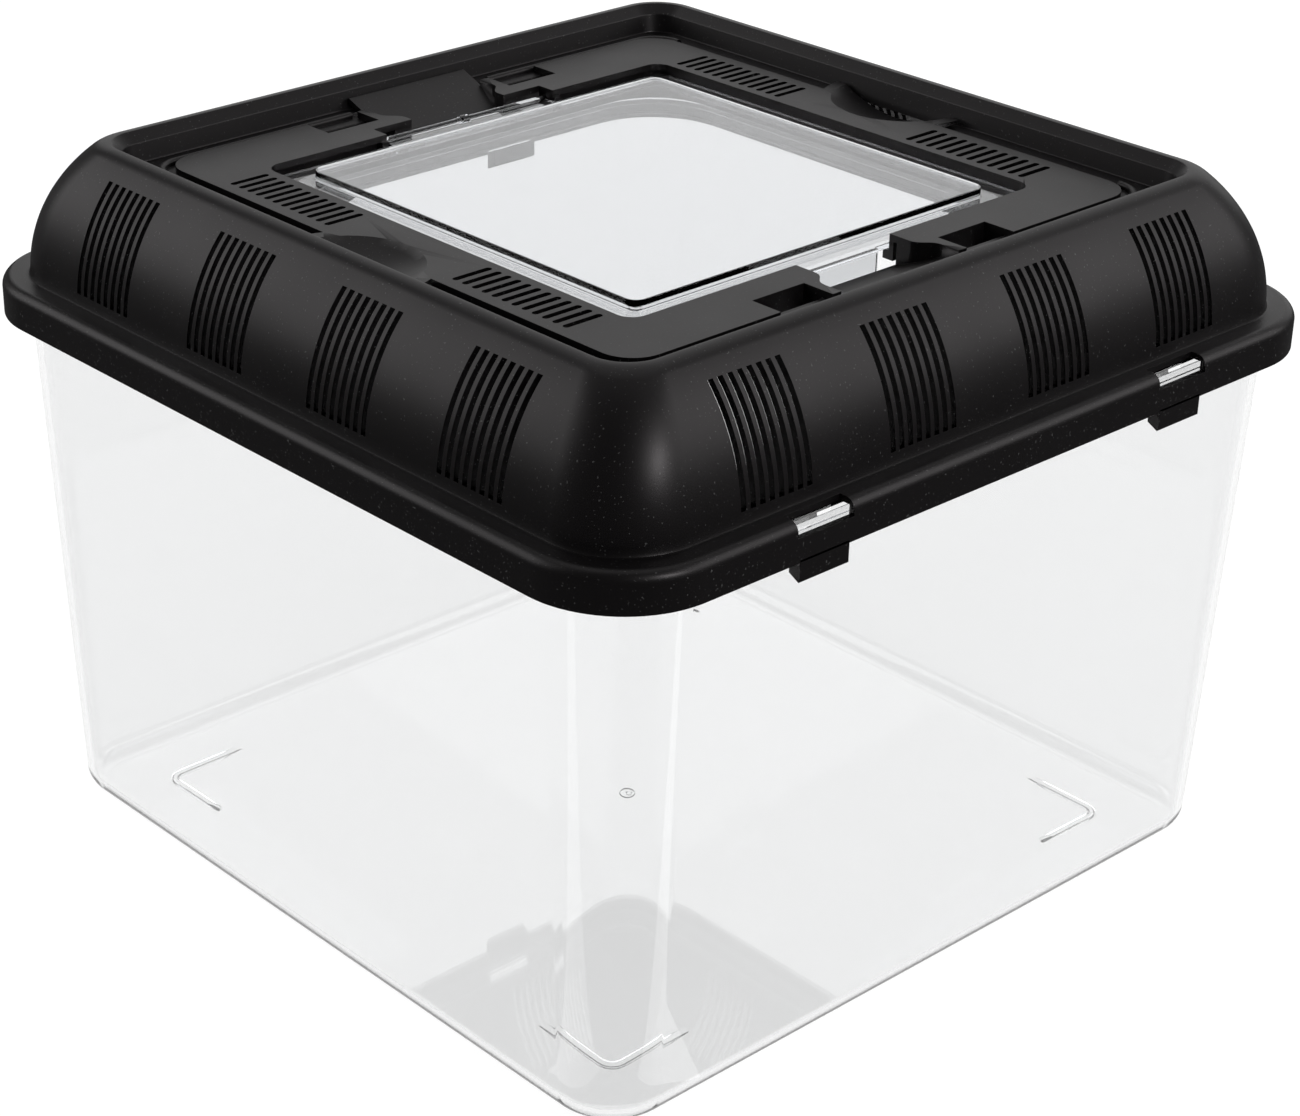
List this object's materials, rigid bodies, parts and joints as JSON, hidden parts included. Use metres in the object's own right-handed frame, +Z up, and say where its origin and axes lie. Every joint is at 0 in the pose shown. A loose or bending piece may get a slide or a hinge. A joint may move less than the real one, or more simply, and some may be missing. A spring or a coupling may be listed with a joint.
{
  "type": "vented plastic breeding box",
  "caption": "Square clear plastic tank with a domed black vented lid, a lift-out vent frame in the lid and a hinged clear window.",
  "frame": {"origin": "centre of the bounding box, on the plane the stacking feet stand on", "axes": "+Z up, +X towards the side of the lid with the window's finger tab, the hinge on the -X side, +Y completes the right-handed frame"},
  "size_m": [0.31, 0.31, 0.2345],
  "materials": {
    "clear_plastic": "polished clear",
    "black_plastic": "satin moulded",
    "clear_window": "polished clear"
  },
  "bodies": {
    "tank": {"tank": "clear_plastic"},
    "lid": {"lid_shell": "black_plastic"},
    "frame": {"vent_frame": "black_plastic"},
    "window": {"window": "clear_window"}
  },
  "joints": [
    {"name": "lid_lift", "type": "slide", "parent": "tank", "child": "lid", "axis": [0, 0, 1], "range_m": [0, 0.08]},
    {"name": "frame_lift", "type": "slide", "parent": "lid", "child": "frame", "axis": [0, 0, 1], "range_m": [0, 0.03]},
    {"name": "window_hinge", "type": "hinge", "parent": "frame", "child": "window", "pos_m": [-0.0875, 0, 0.2233], "axis": [0, -1, 0], "range_deg": [0, 105]}
  ]
}
